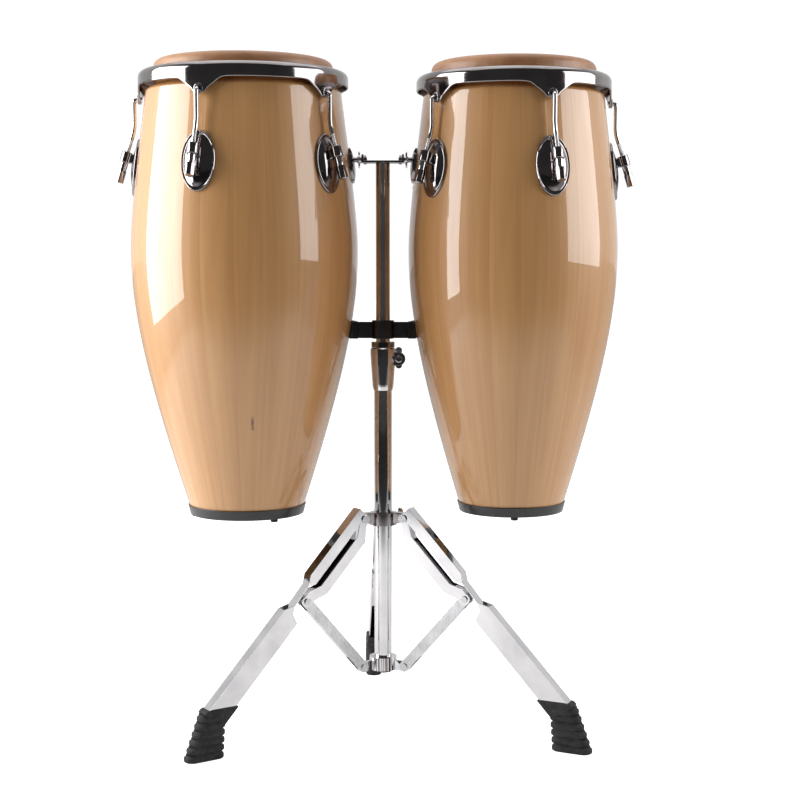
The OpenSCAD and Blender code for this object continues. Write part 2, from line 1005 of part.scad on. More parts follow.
place() lower_tube();
place() tube_plug();
place() lower_collar();
place() height_clamp();
place() clamp_bushing();
place() height_wing_screw();
place() memory_lock();
place() upper_tube();
place() t_bar();
place() bow_bar();
place() bow_pads();
place() bow_bolt();
place() upper_collar();
place() collar_rivets();
place() tripod_wing_screw();
place() leg_channel(azimuths[0]);  // rear_leg
place() leg_strip(azimuths[0]);  // rear_leg_strip
place() rubber_foot(azimuths[0]);  // rear_foot
place() brace(azimuths[0]);  // rear_brace
place() leg_channel(azimuths[1]);  // left_leg
place() leg_strip(azimuths[1]);  // left_leg_strip
place() rubber_foot(azimuths[1]);  // left_foot
place() brace(azimuths[1]);  // left_brace
place() leg_channel(azimuths[2]);  // right_leg
place() leg_strip(azimuths[2]);  // right_leg_strip
place() rubber_foot(azimuths[2]);  // right_foot
place() brace(azimuths[2]);  // right_brace
place() drum_wing_nut(LEFT);  // left_wing_nut
place() drum_wing_nut(RIGHT);  // right_wing_nut
place() drum_shell(LEFT);  // left_shell
place() drum_skin(LEFT);  // left_head_skin
place() flesh_hoop(LEFT);  // left_flesh_hoop
place() rim(LEFT);  // left_rim
place() side_plates(LEFT);  // left_side_plates
place() hooks(LEFT);  // left_hooks
place() plate_bolts(LEFT);  // left_plate_bolts
place() base_ring(LEFT);  // left_base_ring
place() ring_feet(LEFT);  // left_ring_feet
place() mount_plate(LEFT);  // left_mount_plate
place() tuning_nut(LEFT, 0);  // left_nut_1
place() tuning_nut(LEFT, 1);  // left_nut_2
place() tuning_nut(LEFT, 2);  // left_nut_3
place() tuning_nut(LEFT, 3);  // left_nut_4
place() tuning_nut(LEFT, 4);  // left_nut_5
place() drum_shell(RIGHT);  // right_shell
place() drum_skin(RIGHT);  // right_head_skin
place() flesh_hoop(RIGHT);  // right_flesh_hoop
place() rim(RIGHT);  // right_rim
place() side_plates(RIGHT);  // right_side_plates
place() hooks(RIGHT);  // right_hooks
place() plate_bolts(RIGHT);  // right_plate_bolts
place() base_ring(RIGHT);  // right_base_ring
place() ring_feet(RIGHT);  // right_ring_feet
place() mount_plate(RIGHT);  // right_mount_plate
place() tuning_nut(RIGHT, 0);  // right_nut_1
place() tuning_nut(RIGHT, 1);  // right_nut_2
place() tuning_nut(RIGHT, 2);  // right_nut_3
place() tuning_nut(RIGHT, 3);  // right_nut_4
place() tuning_nut(RIGHT, 4);  // right_nut_5
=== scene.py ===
"""Looks of a pair of conga drums on a double stand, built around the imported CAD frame. Metres, +Z up."""

import json
import math

import bmesh
import bpy
from mathutils import Matrix, Vector


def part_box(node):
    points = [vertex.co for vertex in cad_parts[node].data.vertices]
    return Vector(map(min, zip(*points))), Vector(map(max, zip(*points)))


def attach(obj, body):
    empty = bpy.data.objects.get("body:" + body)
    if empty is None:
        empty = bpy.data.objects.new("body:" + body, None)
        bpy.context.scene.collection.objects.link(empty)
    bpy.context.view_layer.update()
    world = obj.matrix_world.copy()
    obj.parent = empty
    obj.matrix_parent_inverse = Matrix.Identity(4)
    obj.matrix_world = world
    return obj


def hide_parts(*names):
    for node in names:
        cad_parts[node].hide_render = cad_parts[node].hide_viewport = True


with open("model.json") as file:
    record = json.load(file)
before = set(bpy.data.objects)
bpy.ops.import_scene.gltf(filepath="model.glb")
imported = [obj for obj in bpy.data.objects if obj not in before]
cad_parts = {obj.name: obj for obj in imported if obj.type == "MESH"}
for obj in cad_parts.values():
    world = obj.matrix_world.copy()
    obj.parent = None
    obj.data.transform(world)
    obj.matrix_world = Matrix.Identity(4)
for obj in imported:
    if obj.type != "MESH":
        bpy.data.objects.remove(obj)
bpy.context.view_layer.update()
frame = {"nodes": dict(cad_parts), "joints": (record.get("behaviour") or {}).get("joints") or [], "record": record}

MM = 0.001
TURN = 2 * math.pi
LUGS = 5


# ---------- points and meshes ----------

def rounded(points, radius, closed=True, steps=4):
    """A polygon of 2-D points with each corner turned into a short curve."""
    out = []
    count = len(points)
    for i, corner in enumerate(points):
        if not closed and i in (0, count - 1):
            out.append(tuple(corner))
            continue
        corner = Vector(corner)
        before = Vector(points[i - 1]) - corner
        after = Vector(points[(i + 1) % count]) - corner
        start = corner + before * min(radius / before.length, 0.45)
        end = corner + after * min(radius / after.length, 0.45)
        for k in range(steps + 1):
            t = k / steps
            out.append(tuple(start * (1 - t) ** 2 + corner * 2 * t * (1 - t) + end * t * t))
    return out


def bezier(p, steps, first=0):
    """Points on a cubic curve with control points p, from step first on."""
    curve = []
    for i in range(first, steps + 1):
        t = i / steps
        weights = ((1 - t) ** 3, 3 * (1 - t) ** 2 * t, 3 * (1 - t) * t * t, t ** 3)
        curve.append(tuple(sum(w * q[k] for w, q in zip(weights, p)) for k in (0, 1)))
    return curve


def grid_faces(rows, columns, wrap_rows, wrap_columns, first=0):
    """Quads between the points of a grid whose point (r, c) has the number first + r * columns + c."""
    faces = []
    for r in range(rows if wrap_rows else rows - 1):
        for c in range(columns if wrap_columns else columns - 1):
            r2, c2 = (r + 1) % rows, (c + 1) % columns
            faces.append(tuple(first + a * columns + b for a, b in ((r, c), (r, c2), (r2, c2), (r2, c))))
    return faces


def lathe(profile, around=96, closed=False):
    """A profile of (radius, height) turned about +Z: (points, faces). An open profile gets flat end caps."""
    points = []
    for radius, height in profile:
        for k in range(around):
            a = TURN * k / around
            points.append((radius * math.cos(a), radius * math.sin(a), height))
    faces = grid_faces(len(profile), around, closed, True)
    if not closed:
        faces.append(tuple(range(around))[::-1])
        faces.append(tuple(range(len(points) - around, len(points))))
    return points, faces


def prism(outline, bottom, top, edge):
    """A 2-D outline raised from bottom to top, its edges rolled over by edge."""
    centre = Vector((sum(p[0] for p in outline), sum(p[1] for p in outline))) / len(outline)
    rows = []
    for inset, height in ((1.0, 0.0), (0.3, 0.08), (0.0, 1.0), (0.0, -1.0), (0.3, -0.08), (1.0, 0.0)):
        z = bottom + edge * height if len(rows) < 3 else top + edge * height
        row = []
        for p in outline:
            inward = centre - Vector(p)
            q = Vector(p) + inward.normalized() * edge * inset
            row.append((q.x, q.y, z))
        rows.append(row)
    count = len(outline)
    faces = grid_faces(len(rows), count, False, True)
    faces += [tuple(range(count))[::-1], tuple(range(5 * count, 6 * count))]
    return [p for row in rows for p in row], faces


def sweep(path, radius, sides=20):
    """A round tube along a path of points. radius is a function of (index, angle)."""
    path = [Vector(p) for p in path]
    points, faces = [], []
    normal = None
    for i, p in enumerate(path):
        ahead = path[min(i + 1, len(path) - 1)] - path[max(i - 1, 0)]
        ahead.normalize()
        if normal is None:
            normal = ahead.orthogonal().normalized()
        normal = (normal - ahead * normal.dot(ahead)).normalized()
        across = ahead.cross(normal)
        for k in range(sides):
            a = TURN * k / sides
            r = radius(i, a)
            points.append(tuple(p + normal * r * math.cos(a) + across * r * math.sin(a)))
    faces = grid_faces(len(path), sides, False, True)
    faces += [tuple(range(sides))[::-1], tuple(range(len(points) - sides, len(points)))]
    return points, faces


def moved(shape, matrix):
    points, faces = shape
    return [tuple(matrix @ Vector(p)) for p in points], faces


def joined(*shapes):
    points, faces = [], []
    for more, their_faces in shapes:
        first = len(points)
        points += more
        faces += [tuple(first + i for i in f) for f in their_faces]
    return points, faces


def piece(name, shape, body, material, replaces=(), origin=(0, 0, 0), sharp=35):
    """Makes a mesh object from a shape about origin, and lets it ride on a CAD body."""
    mesh = bpy.data.meshes.new(name)
    mesh.from_pydata([tuple(p) for p in shape[0]], [], shape[1])
    edit = bmesh.new()
    edit.from_mesh(mesh)
    bmesh.ops.recalc_face_normals(edit, faces=edit.faces)
    edit.to_mesh(mesh)
    edit.free()
    mesh.shade_smooth()
    mesh.set_sharp_from_angle(angle=math.radians(sharp))
    obj = bpy.data.objects.new(name, mesh)
    bpy.context.scene.collection.objects.link(obj)
    obj.location = origin
    mesh.materials.append(material)
    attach(obj, body)
    if replaces:
        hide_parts(*replaces)
    return obj


def frame_at(origin, z_axis, x_hint=(1, 0, 0)):
    """A matrix that puts +Z along z_axis at origin."""
    z = Vector(z_axis).normalized()
    x = Vector(x_hint)
    x = (x - z * x.dot(z)).normalized()
    y = z.cross(x)
    turn = Matrix((x, y, z)).transposed().to_4x4()
    return Matrix.Translation(origin) @ turn


# ---------- materials ----------

def node(tree, kind, settings=None, **inputs):
    """Adds a shader node. Inputs are values or sockets, named or numbered as i0, i1."""
    made = tree.nodes.new(kind)
    for key, value in (settings or {}).items():
        setattr(made, key, value)
    for key, value in inputs.items():
        socket = made.inputs[int(key[1:])] if key[1:].isdigit() and key[0] == "i" else made.inputs[key]
        if isinstance(value, bpy.types.NodeSocket):
            tree.links.new(value, socket)
        else:
            socket.default_value = value
    return made


def math_node(tree, operation, a, b=0.0):
    return node(tree, "ShaderNodeMath", {"operation": operation}, i0=a, i1=b).outputs[0]


def scaled(tree, vector, factors):
    """A vector multiplied by one factor on each axis."""
    return node(tree, "ShaderNodeVectorMath", {"operation": "MULTIPLY"}, i0=vector, i1=factors).outputs[0]


def ramp(tree, factor, stops):
    """A colour ramp: stops are (position, colour)."""
    made = node(tree, "ShaderNodeValToRGB", i0=factor)
    elements = made.color_ramp.elements
    while len(elements) < len(stops):
        elements.new(0.5)
    for element, (position, colour) in zip(elements, stops):
        element.position = position
        element.color = (*colour, 1)
    return made.outputs[0]


def noise(tree, vector, scale, detail=3.0, roughness=0.5, distortion=0.0):
    made = node(tree, "ShaderNodeTexNoise", Vector=vector, Scale=scale, Detail=detail,
                Roughness=roughness, Distortion=distortion)
    return made.outputs[0]


def spread(tree, factor, low, high):
    """Maps 0..1 to low..high."""
    return node(tree, "ShaderNodeMapRange", i0=factor, i1=0.25, i2=0.75, i3=low, i4=high).outputs[0]


def tint(tree, a, b, factor, blend="MIX"):
    made = node(tree, "ShaderNodeMix", {"data_type": "RGBA", "blend_type": blend})
    for socket, value in ((0, factor), (6, a), (7, b)):
        if isinstance(value, bpy.types.NodeSocket):
            tree.links.new(value, made.inputs[socket])
        else:
            made.inputs[socket].default_value = value if socket == 0 else (*value, 1)
    return made.outputs[2]


def bump(tree, height, strength, distance):
    return node(tree, "ShaderNodeBump", Height=height, Strength=strength, Distance=distance).outputs[0]


def start(name, **sockets):
    """A new material with its Principled sockets set: (material, tree, shader, object coordinates)."""
    material = bpy.data.materials.new(name)
    material.use_nodes = True
    tree = material.node_tree
    shader = tree.nodes["Principled BSDF"]
    for key, value in sockets.items():
        shader.inputs[key.replace("_", " ")].default_value = value
    coordinates = tree.nodes.new("ShaderNodeTexCoord").outputs["Object"]
    return material, tree, shader, coordinates


def set_to(tree, shader, **sockets):
    for key, value in sockets.items():
        tree.links.new(value, shader.inputs[key.replace("_", " ")])


def chrome(name, bright, dull, polish):
    """Plated steel: faint clouding of the plating, fine hairlines and a little grime in its tone."""
    material, tree, shader, at = start(name, Metallic=1.0)
    clouds = noise(tree, at, 22, 3)
    specks = noise(tree, at, 420, 2)
    set_to(tree, shader,
           Base_Color=ramp(tree, clouds, [(0.3, dull), (0.6, bright)]),
           Roughness=spread(tree, noise(tree, at, 60, 4, 0.6), polish, polish * 2.4),
           Normal=bump(tree, specks, 0.03, 0.0002))
    return material


def lacquered_maple(name, knot):
    """Maple staves under a thick gloss lacquer. Object coordinates are centred on the drum's axis."""
    material, tree, shader, at = start(name, Coat_Weight=1.0, Coat_Roughness=0.025, Coat_IOR=1.52)
    axes = node(tree, "ShaderNodeSeparateXYZ", i0=at).outputs
    around = math_node(tree, "DIVIDE", math_node(tree, "ARCTAN2", axes[0], axes[1]), TURN)
    staves = math_node(tree, "MULTIPLY", around, 22.0)
    stave = math_node(tree, "FLOOR", staves)
    own = node(tree, "ShaderNodeTexWhiteNoise", {"noise_dimensions": "1D"}, W=stave).outputs[0]
    # grain: long fibres up the stave, each stave cut from another board
    across = math_node(tree, "MULTIPLY", staves, 0.045)
    board = math_node(tree, "MULTIPLY", own, 9.0)
    upwards = math_node(tree, "MULTIPLY", axes[2], 0.045)
    fibres = node(tree, "ShaderNodeCombineXYZ", i0=across, i1=board, i2=upwards).outputs[0]
    fine = noise(tree, fibres, 260, 4, 0.6)
    figure = noise(tree, fibres, 42, 4, 0.55, 0.6)
    streaks = noise(tree, fibres, 110, 2, 0.4, 0.2)
    wood = ramp(tree, figure, [(0.28, (0.51, 0.255, 0.092)), (0.52, (0.58, 0.305, 0.115)),
                               (0.75, (0.64, 0.355, 0.142))])
    wood = tint(tree, wood, (0.40, 0.195, 0.072), spread(tree, fine, 0.0, 0.20))
    wood = tint(tree, wood, (0.34, 0.155, 0.055), spread(tree, streaks, -0.20, 0.16))
    tone = ramp(tree, own, [(0.0, (0.93, 0.91, 0.89)), (1.0, (1.0, 1.0, 1.0))])
    wood = tint(tree, wood, tone, 1.0, "MULTIPLY")
    # glue lines between the staves
    place = math_node(tree, "SUBTRACT", math_node(tree, "FRACT", staves), 0.5)
    place = math_node(tree, "ABSOLUTE", place)
    line = node(tree, "ShaderNodeMapRange", i0=place, i1=0.488, i2=0.5, i3=0.0, i4=0.38).outputs[0]
    wood = tint(tree, wood, (0.26, 0.12, 0.045), line)
    # a small dark knot with its streak
    away = node(tree, "ShaderNodeVectorMath", {"operation": "SUBTRACT"}, i0=at, i1=knot).outputs[0]
    bent = scaled(tree, away, (1.0, 0.25, 0.22))
    far = node(tree, "ShaderNodeVectorMath", {"operation": "LENGTH"}, i0=bent).outputs["Value"]
    ragged = math_node(tree, "ADD", far, math_node(tree, "MULTIPLY", noise(tree, at, 160, 2), 0.003))
    mark = node(tree, "ShaderNodeMapRange", i0=ragged, i1=0.0022, i2=0.0048, i3=0.85, i4=0.0).outputs[0]
    wood = tint(tree, wood, (0.07, 0.025, 0.01), mark)
    set_to(tree, shader, Base_Color=wood, Roughness=spread(tree, fine, 0.34, 0.5),
           Normal=bump(tree, fine, 0.06, 0.0004))
    return material


def raw_maple():
    """Sanded, unlacquered wood inside the shells."""
    material, tree, shader, at = start("raw_maple")
    stretched = scaled(tree, at, (1.0, 1.0, 0.06))
    fibres = noise(tree, stretched, 190, 5, 0.6)
    set_to(tree, shader,
           Base_Color=ramp(tree, fibres, [(0.3, (0.36, 0.20, 0.09)), (0.7, (0.58, 0.37, 0.19))]),
           Roughness=spread(tree, fibres, 0.6, 0.85),
           Normal=bump(tree, fibres, 0.35, 0.0005))
    return material


def rawhide():
    """Cured skin: warm brown with mottles, faint veins and a dry sheen."""
    material, tree, shader, at = start("rawhide", Coat_Weight=0.25, Coat_Roughness=0.28)
    mottle = noise(tree, at, 13, 5, 0.6, 0.5)
    hair = noise(tree, at, 520, 3, 0.6)
    cells = node(tree, "ShaderNodeTexVoronoi", {"feature": "DISTANCE_TO_EDGE"}, Vector=at, Scale=26.0)
    edges = cells.outputs[0]
    veins = node(tree, "ShaderNodeMapRange", i0=edges, i1=0.0, i2=0.05, i3=0.22, i4=0.0).outputs[0]
    hide = ramp(tree, mottle, [(0.25, (0.235, 0.095, 0.040)), (0.5, (0.37, 0.165, 0.070)),
                               (0.78, (0.50, 0.26, 0.125))])
    hide = tint(tree, hide, (0.20, 0.075, 0.03), veins)
    hide = tint(tree, hide, (0.55, 0.33, 0.19), spread(tree, hair, 0.0, 0.18))
    set_to(tree, shader, Base_Color=hide, Roughness=spread(tree, mottle, 0.36, 0.55),
           Normal=bump(tree, hair, 0.22, 0.0004))
    return material


def black_paint():
    """Powder coat: a soft orange-peel surface, greyer where it rubs."""
    material, tree, shader, at = start("black_paint", Coat_Weight=0.35, Coat_Roughness=0.2)
    peel = noise(tree, at, 900, 2)
    rub = noise(tree, at, 35, 6, 0.7)
    set_to(tree, shader,
           Base_Color=ramp(tree, rub, [(0.45, (0.006, 0.006, 0.007)), (0.8, (0.022, 0.021, 0.021))]),
           Roughness=spread(tree, rub, 0.28, 0.45),
           Normal=bump(tree, peel, 0.25, 0.0003))
    return material


def rubber():
    """Moulded rubber with a fine grain and dust in its hollows."""
    material, tree, shader, at = start("rubber", Specular_IOR_Level=0.35)
    grain = noise(tree, at, 1400, 2)
    dust = noise(tree, at, 70, 5, 0.65)
    set_to(tree, shader,
           Base_Color=ramp(tree, dust, [(0.4, (0.010, 0.010, 0.011)), (0.85, (0.055, 0.052, 0.050))]),
           Roughness=spread(tree, dust, 0.58, 0.82),
           Normal=bump(tree, grain, 0.4, 0.0003))
    return material


def zinc():
    """Zinc-plated steel with brushed lines."""
    material, tree, shader, at = start("zinc", Metallic=1.0)
    drawn = scaled(tree, at, (1.0, 1.0, 0.08))
    lines = noise(tree, drawn, 700, 3)
    clouds = noise(tree, at, 40, 3)
    set_to(tree, shader,
           Base_Color=ramp(tree, clouds, [(0.3, (0.52, 0.52, 0.53)), (0.7, (0.70, 0.70, 0.72))]),
           Roughness=spread(tree, lines, 0.16, 0.34),
           Normal=bump(tree, lines, 0.1, 0.0002))
    return material


CHROME = chrome("chrome", (0.72, 0.71, 0.72), (0.60, 0.59, 0.61), 0.035)
DARK_CHROME = chrome("dark_chrome", (0.33, 0.305, 0.305), (0.23, 0.21, 0.215), 0.05)
RAWHIDE = rawhide()
RAW_MAPLE = raw_maple()
BLACK_PAINT = black_paint()
RUBBER = rubber()
ZINC = zinc()
FINISH = {"chrome": CHROME, "dark_chrome": DARK_CHROME, "steel": ZINC, "black_paint": BLACK_PAINT,
          "rubber": RUBBER, "black_plastic": RUBBER, "rawhide": RAWHIDE, "maple": RAW_MAPLE}


# ---------- the drums ----------

def middle(name):
    low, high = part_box(name)
    return (low + high) / 2


# sizes that both drums share, the same as in the CAD
CROWN_R = 10.6 * MM
RIM_T = 3 * MM
BAND = 13.4 * MM
EAR = 25 * MM
HOOK_DROP = 30.4 * MM
ROD_OUT = 19 * MM
LEAN_DROP = 77.2 * MM
LEAN = math.radians(17.5)
ROD_R = 3.5 * MM
PLATE_DROP = 136.2 * MM
LUG_FROM = 36 * MM
LUG_TO = 53 * MM
NUT_TO = 86 * MM
ROD_END = 80 * MM
PLATE_WIDE, PLATE_TALL, PLATE_THICK = 54 * MM, 90 * MM, 10 * MM
THREAD = 1.25 * MM
STEPS_A_TURN = 8


class Drum:
    """Sizes of one drum, read from the boxes of its CAD nodes."""

    def __init__(self, name, side):
        ring_low, ring_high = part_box(name + "_base_ring")
        skin_low, skin_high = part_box(name + "_head_skin")
        shell_low, shell_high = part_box(name + "_shell")
        rim_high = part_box(name + "_rim")[1]
        self.name = name
        self.side = side
        self.body = name + "_drum"
        self.origin = Vector(((ring_low.x + ring_high.x) / 2, (ring_low.y + ring_high.y) / 2, ring_low.z))
        self.tall = skin_high.z - ring_low.z
        self.foot = (ring_high.x - ring_low.x) / 2 - 3.8 * MM
        self.belly = (shell_high.x - shell_low.x) / 2
        self.head = (skin_high.x - skin_low.x) / 2 - 19.2 * MM
        self.crown_x = self.head + 12.2 * MM
        self.crown_h = rim_high.z - ring_low.z - CROWN_R

    def azimuth(self, i):
        """Azimuth of lug i, counted from -Y towards +X, in radians."""
        return -self.side * (TURN / LUGS * i - TURN / 4)

    def barrel(self, rows=40):
        """Outline of the shell from the base ring to the shoulder."""
        f, b, t = self.foot, self.belly, self.tall
        s = 0.865 * b
        low = bezier([(f + 2.2 * MM, 16 * MM), (f + 3 * MM + 0.727 * (b - f - 3 * MM), 0.30 * t),
                      (b, 0.448 * t), (b, 0.587 * t)], rows)
        high = bezier([(b, 0.587 * t), (b, 0.66 * t), (s + 0.0634 * b, 0.79 * t), (s, 0.915 * t)], rows, 1)
        return low + high

    def radius(self, height):
        points = self.barrel()
        for p, q in zip(points, points[1:]):
            if p[1] <= height <= q[1]:
                return p[0] + (q[0] - p[0]) * (height - p[1]) / (q[1] - p[1])
        return points[0][0] if height < points[0][1] else points[-1][0]


def outward(azimuth):
    return Vector((math.sin(azimuth), -math.cos(azimuth), 0))


def along(azimuth):
    """The level direction towards a larger azimuth."""
    return Vector((math.cos(azimuth), math.sin(azimuth), 0))


def make_shell(d, knot):
    h, t, head = d.crown_h, d.tall, d.head
    shoulder = 0.865 * d.belly
    outside = [(d.foot - 1.4 * MM, 1.9 * MM), (d.foot + 1.9 * MM, 15.5 * MM)] + d.barrel()
    outside += bezier([(shoulder - 0.9 * MM, h - 22 * MM), (shoulder - 1.6 * MM, h - 16 * MM),
                       (head - 0.5 * MM, h - 14 * MM), (head - 2.6 * MM, h - 8 * MM)], 12)
    outside += bezier([(head - 3.6 * MM, t - 12 * MM), (head - 3.8 * MM, t - 6 * MM),
                       (head - 7 * MM, t - 2.8 * MM), (head - 11.5 * MM, t - 2.8 * MM)], 8)
    inside = [(head - 14 * MM, t - 3.6 * MM), (head - 15.8 * MM, t - 6 * MM), (head - 16 * MM, t - 70 * MM)]
    inside += [(r - 11 * MM, z) for r, z in reversed(d.barrel(20)) if z < 0.85 * t]
    inside += [(d.foot - 11 * MM, 1.9 * MM)]
    around = 288
    shape = lathe(outside + inside, around, closed=True)
    shell = piece(d.name + "_maple_shell", shape, d.body, lacquered_maple(d.name + "_maple", knot),
                  [d.name + "_shell"], d.origin, sharp=60)
    shell.data.materials.append(RAW_MAPLE)
    inner_from = len(outside) - 1
    for number, face in enumerate(shell.data.polygons):
        face.material_index = 1 if number // around >= inner_from else 0
    return shell


def make_skin(d):
    h, t, head, x = d.crown_h, d.tall, d.head, d.crown_x
    thick = 2.4 * MM
    top = [(0.0, t - 0.25 * MM), (head * 0.25, t - 0.22 * MM), (head * 0.6, t - 0.12 * MM),
           (head - 24 * MM, t)]
    top += bezier([(head - 14 * MM, t), (head - 6 * MM, t), (head - 0.8 * MM, t - 5 * MM),
                   (head - 0.6 * MM, t - 14 * MM)], 14)
    tuck = [(head - 0.1 * MM, h - 1.5 * MM)]
    tuck += bezier([(head + 1.5 * MM, h - 4.0 * MM), (x - 5.5 * MM, h - 4.0 * MM), (x - 6 * MM, h + 1 * MM),
                    (x - 4.4 * MM, h + 4.4 * MM)], 6)
    over_hoop = 6.6 * MM
    tuck += [(x + over_hoop * math.sin(a), h + over_hoop * math.cos(a))
             for a in (0, 0.5, 1, 1.6, 2.2, 2.8, 3.4, 3.9)]
    under = [(x - 4.4 * MM, h - 5.6 * MM), (head - 2.0 * MM, h - 5.4 * MM)]
    under += bezier([(head - 3.1 * MM, t - 14 * MM), (head - 3.3 * MM, t - 6 * MM),
                     (head - 6.8 * MM, t - thick), (head - 12 * MM, t - thick)], 8)
    under += [(head * 0.6, t - thick), (0.0, t - thick)]
    around = 216
    points, faces = lathe(top + tuck + under, around)
    # the collar under the rim puckers a little where the wet skin was gathered
    puckered = []
    for number, (px, py, pz) in enumerate(points):
        row, column = divmod(number, around)
        deep = max(0.0, min(1.0, (t - 8 * MM - pz) / (20 * MM))) if row < len(top) + 3 else 0.0
        a = TURN * column / around
        wave = 0.28 * MM * deep * math.sin(48 * a + 2.2 * math.sin(5 * a))
        scale = 1 + wave / max(math.hypot(px, py), 0.02)
        puckered.append((px * scale, py * scale, pz))
    return piece(d.name + "_rawhide_head", (puckered, faces), d.body, RAWHIDE,
                 [d.name + "_head_skin"], d.origin, sharp=70)


def ear_depth(offset):
    """How far the rim's skirt reaches below the band at a distance from an ear's middle."""
    u = abs(offset)
    round_r = 14 * MM
    straight = EAR - 6 * MM - max(0.0, u - 10 * MM) * 0.73
    if u < round_r:
        return max(straight, EAR - round_r + math.sqrt(round_r ** 2 - u * u))
    swell = 4 * MM
    return max(0.0, straight) if straight > swell else swell * math.exp((straight - swell) / swell) * 0.999


def make_rim(d):
    """Comfort-curve rim: a rolled crown, a skirt and five ears in one skin of 3 mm steel."""
    x, h = d.crown_x, d.crown_h
    around, crown, down, edge = 720, 14, 14, 4
    half = RIM_T / 2
    mid = CROWN_R - half
    points = []
    for k in range(around):
        a = TURN * k / around
        nearest = min((abs((a - d.azimuth(i) + math.pi) % TURN - math.pi) for i in range(LUGS)))
        low = h - BAND - ear_depth(nearest * (x + CROWN_R)) + half
        rolls = [math.pi * (1 - j / crown) for j in range(crown + 1)]
        line = [(x + mid * math.cos(b), h + mid * math.sin(b)) for b in rolls]
        line += [(x + mid, h + (low - h) * j / down) for j in range(1, down + 1)]
        # outside, then a round lower edge, then back up the inside and round the free edge of the crown
        outer, inner = [], []
        for j, (r, z) in enumerate(line):
            p, q = line[max(j - 1, 0)], line[min(j + 1, len(line) - 1)]
            tx, tz = q[0] - p[0], q[1] - p[1]
            size = math.hypot(tx, tz)
            nx, nz = -tz / size, tx / size
            outer.append((r + nx * half, z + nz * half))
            inner.append((r - nx * half, z - nz * half))
        bows = [(half * math.cos(math.pi * j / edge), half * math.sin(math.pi * j / edge))
                for j in range(1, edge)]
        lip_low = [(line[-1][0] + c, line[-1][1] - e) for c, e in bows]
        lip_free = [(line[0][0] - c, line[0][1] - e) for c, e in reversed(bows)]
        section = outer + lip_low + inner[::-1] + lip_free
        out = outward(a)
        points += [(out.x * r, out.y * r, z) for r, z in section]
    columns = len(points) // around
    rim = points, grid_faces(around, columns, True, True)
    shapes = [rim]
    for i in range(LUGS):
        a = d.azimuth(i)
        at = outward(a) * (x + CROWN_R - 0.6 * MM) + Vector((0, 0, h - HOOK_DROP))
        hole = ROD_R + 0.9 * MM
        boss = rounded([(hole, 0), (7.6 * MM, 0), (7.6 * MM, 2.4 * MM), (6.6 * MM, 3.0 * MM),
                        (hole, 3.0 * MM)], 0.7 * MM)
        shapes.append(moved(lathe(boss, 40, closed=True), frame_at(at, outward(a))))
    return piece(d.name + "_comfort_rim", joined(*shapes), d.body, DARK_CHROME,
                 [d.name + "_rim"], d.origin, sharp=50)


def rod_frame(d, i):
    """Matrix of a slanted rod: origin at its bend, +Z down the rod, in the drum's own frame."""
    a = d.azimuth(i)
    origin = outward(a) * (d.crown_x + ROD_OUT) + Vector((0, 0, d.crown_h - LEAN_DROP))
    down = outward(a) * math.sin(LEAN) + Vector((0, 0, -math.cos(LEAN)))
    return frame_at(origin, down, along(a))


def oval_plate(d, azimuth, height):
    """A domed oval seated on the shell: rolled lip, shallow groove and a crowned middle."""
    t = PLATE_THICK
    levels = [(0.0, t), (0.12, t * 0.995), (0.25, t * 0.97), (0.4, t * 0.90), (0.55, t * 0.78),
              (0.68, t * 0.62), (0.78, t * 0.46), (0.84, t * 0.34), (0.875, t * 0.29), (0.905, t * 0.31),
              (0.935, t * 0.40), (0.962, t * 0.41), (0.985, t * 0.34), (0.998, t * 0.2), (1.0, t * 0.06),
              (1.0, -0.6 * MM)]
    around = 72
    points = []
    for share, lift in levels:
        for k in range(around):
            b = TURN * k / around
            u = share * PLATE_WIDE / 2 * math.cos(b)
            z = height + share * PLATE_TALL / 2 * math.sin(b)
            base = d.radius(z)
            slope = (d.radius(z + MM) - d.radius(z - MM)) / (2 * MM)
            turn = azimuth + u / base
            normal = (outward(turn) - Vector((0, 0, slope))).normalized()
            points.append(tuple(outward(turn) * base + Vector((0, 0, z)) + normal * lift))
    faces = grid_faces(len(levels), around, False, True)[around:]
    centre_fan = [(0, around + k, around + (k + 1) % around) for k in range(around)]
    back = tuple(range(len(points) - around, len(points)))
    keep = points[:1] + points[around:]
    shift = around - 1
    faces = [tuple(i - shift for i in f) for f in faces]
    centre_fan = [(0, b - shift, c - shift) for _, b, c in centre_fan]
    return keep, faces + centre_fan + [tuple(i - shift for i in back)]


def lug_block(d, i):
    """The eye that a rod passes through, and the neck that joins it to the plate."""
    bore, wall = ROD_R + 0.3 * MM, 8.5 * MM
    eye = rounded([(bore, LUG_FROM), (wall, LUG_FROM), (wall, LUG_TO), (bore, LUG_TO)], 1.4 * MM)
    matrix = rod_frame(d, i)
    neck = []
    length = LUG_TO - LUG_FROM - 2 * MM
    for share, wide in ((0.0, 5.6), (0.35, 5.2), (0.7, 5.6), (0.9, 7.5), (1.0, 10.5)):
        half = wide * MM
        ring = rounded([(-half, 0), (half, 0), (half, length), (-half, length)], 2.2 * MM)
        grow = 1 + 0.5 * max(0.0, share - 0.7)
        centre = LUG_FROM + MM + length / 2
        neck.append([(px, -17 * MM * share, centre + (pz - length / 2) * grow) for px, pz in ring])
    count = len(neck[0])
    faces = grid_faces(len(neck), count, False, True)
    faces += [tuple(range(count))[::-1], tuple(range(4 * count, 5 * count))]
    neck_points = [p for ring in neck for p in ring]
    return joined(moved(lathe(eye, 40, closed=True), matrix), moved((neck_points, faces), matrix))


def make_side_plates(d):
    shapes = []
    for i in range(LUGS):
        shapes.append(oval_plate(d, d.azimuth(i), d.crown_h - PLATE_DROP))
        shapes.append(lug_block(d, i))
    return piece(d.name + "_oval_lugs", joined(*shapes), d.body, DARK_CHROME,
                 [d.name + "_side_plates"], d.origin, sharp=50)


